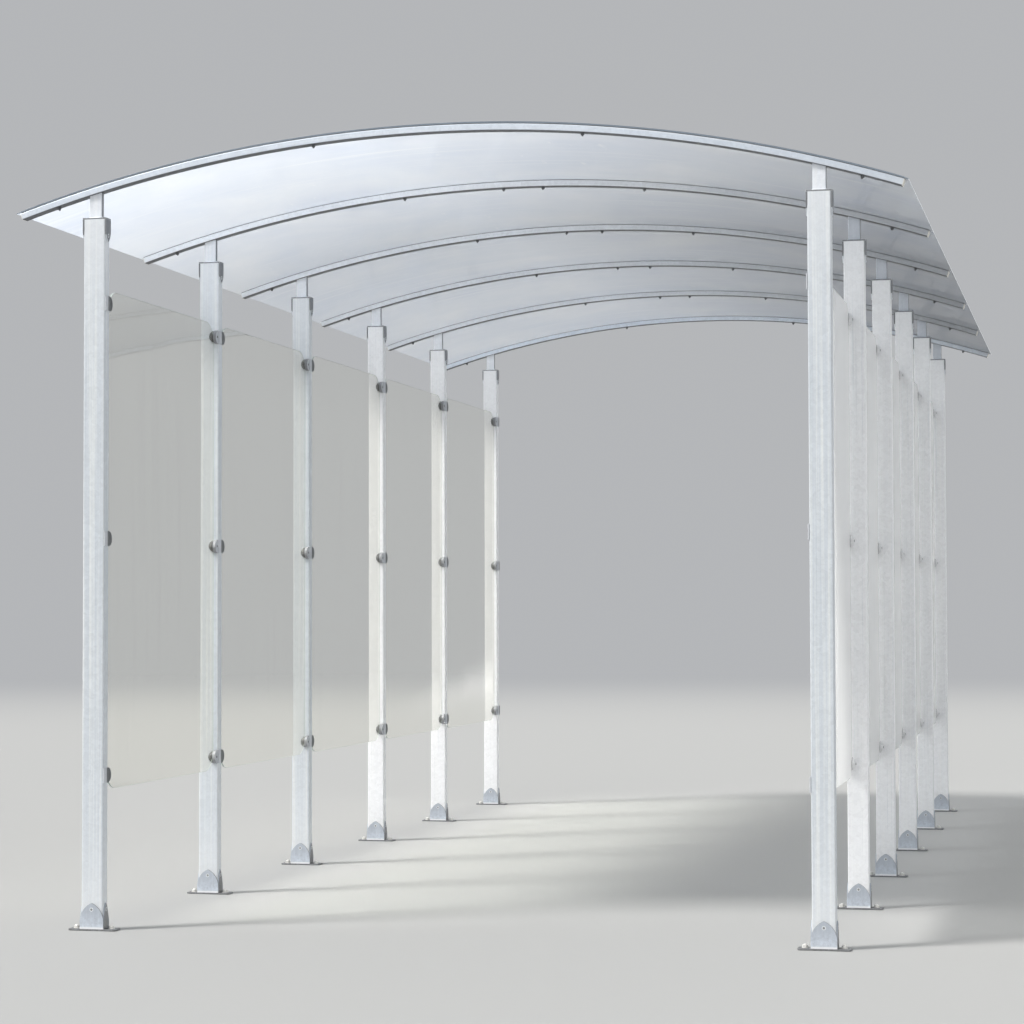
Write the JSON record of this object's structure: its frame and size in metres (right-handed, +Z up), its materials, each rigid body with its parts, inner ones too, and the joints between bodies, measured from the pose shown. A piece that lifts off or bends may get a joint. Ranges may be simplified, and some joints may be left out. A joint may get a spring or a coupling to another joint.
{
  "type": "arched bike shelter",
  "caption": "Open-ended shelter of galvanised portal frames with a curved clear roof, clear side panels in clamps and bolted base shoes.",
  "frame": {"origin": "centre of the footprint, at the ground under the base plates", "axes": "+Y runs along the shelter away from the front frame, +X crosses it towards the right row of posts, +Z is up"},
  "size_m": [2.7694, 5.3, 2.4517],
  "materials": {
    "galvanised_post": "hot-dip galvanised tube, pale, with spangle and streaks",
    "galvanised_shoe": "hot-dip galvanised plate, blue-grey",
    "galvanised_head": "hot-dip galvanised plate and tube",
    "galvanised_arch": "hot-dip galvanised curved tube",
    "pale_plug": "moulded plug, weathered pale",
    "black_seal": "rubber strip",
    "clear_roof_sheet": "clear curved sheet, glossy, slightly hazed",
    "cover_strip": "mill-finish flat strip, dulled",
    "clear_side_panel": "clear panel with ground edges and round corners",
    "clamp_strap": "grey zinc-plated flat",
    "clamp_jaw": "dull grey zinc-plated jaw"
  },
  "bodies": {
    "root": {"post_left_1": "galvanised_post", "post_left_2": "galvanised_post", "post_left_3": "galvanised_post", "post_left_4": "galvanised_post", "post_left_5": "galvanised_post", "post_left_6": "galvanised_post", "post_right_1": "galvanised_post", "post_right_2": "galvanised_post", "post_right_3": "galvanised_post", "post_right_4": "galvanised_post", "post_right_5": "galvanised_post", "post_right_6": "galvanised_post", "base_shoes_left": "galvanised_shoe", "base_shoes_right": "galvanised_shoe", "head_brackets_left": "galvanised_head", "head_brackets_right": "galvanised_head", "arch_beam_1": "galvanised_arch", "arch_beam_2": "galvanised_arch", "arch_beam_3": "galvanised_arch", "arch_beam_4": "galvanised_arch", "arch_beam_5": "galvanised_arch", "arch_beam_6": "galvanised_arch", "arch_end_plugs": "pale_plug", "roof_seals": "black_seal", "roof_sheet_1": "clear_roof_sheet", "roof_sheet_2": "clear_roof_sheet", "roof_sheet_3": "clear_roof_sheet", "roof_sheet_4": "clear_roof_sheet", "roof_sheet_5": "clear_roof_sheet", "roof_cover_strips": "cover_strip", "side_panel_left_1": "clear_side_panel", "side_panel_left_2": "clear_side_panel", "side_panel_left_3": "clear_side_panel", "side_panel_left_4": "clear_side_panel", "side_panel_left_5": "clear_side_panel", "side_panel_right_1": "clear_side_panel", "side_panel_right_2": "clear_side_panel", "side_panel_right_3": "clear_side_panel", "side_panel_right_4": "clear_side_panel", "side_panel_right_5": "clear_side_panel", "clamp_straps_left": "clamp_strap", "clamp_straps_right": "clamp_strap", "clamp_jaws_left": "clamp_jaw", "clamp_jaws_right": "clamp_jaw"}
  },
  "joints": []
}
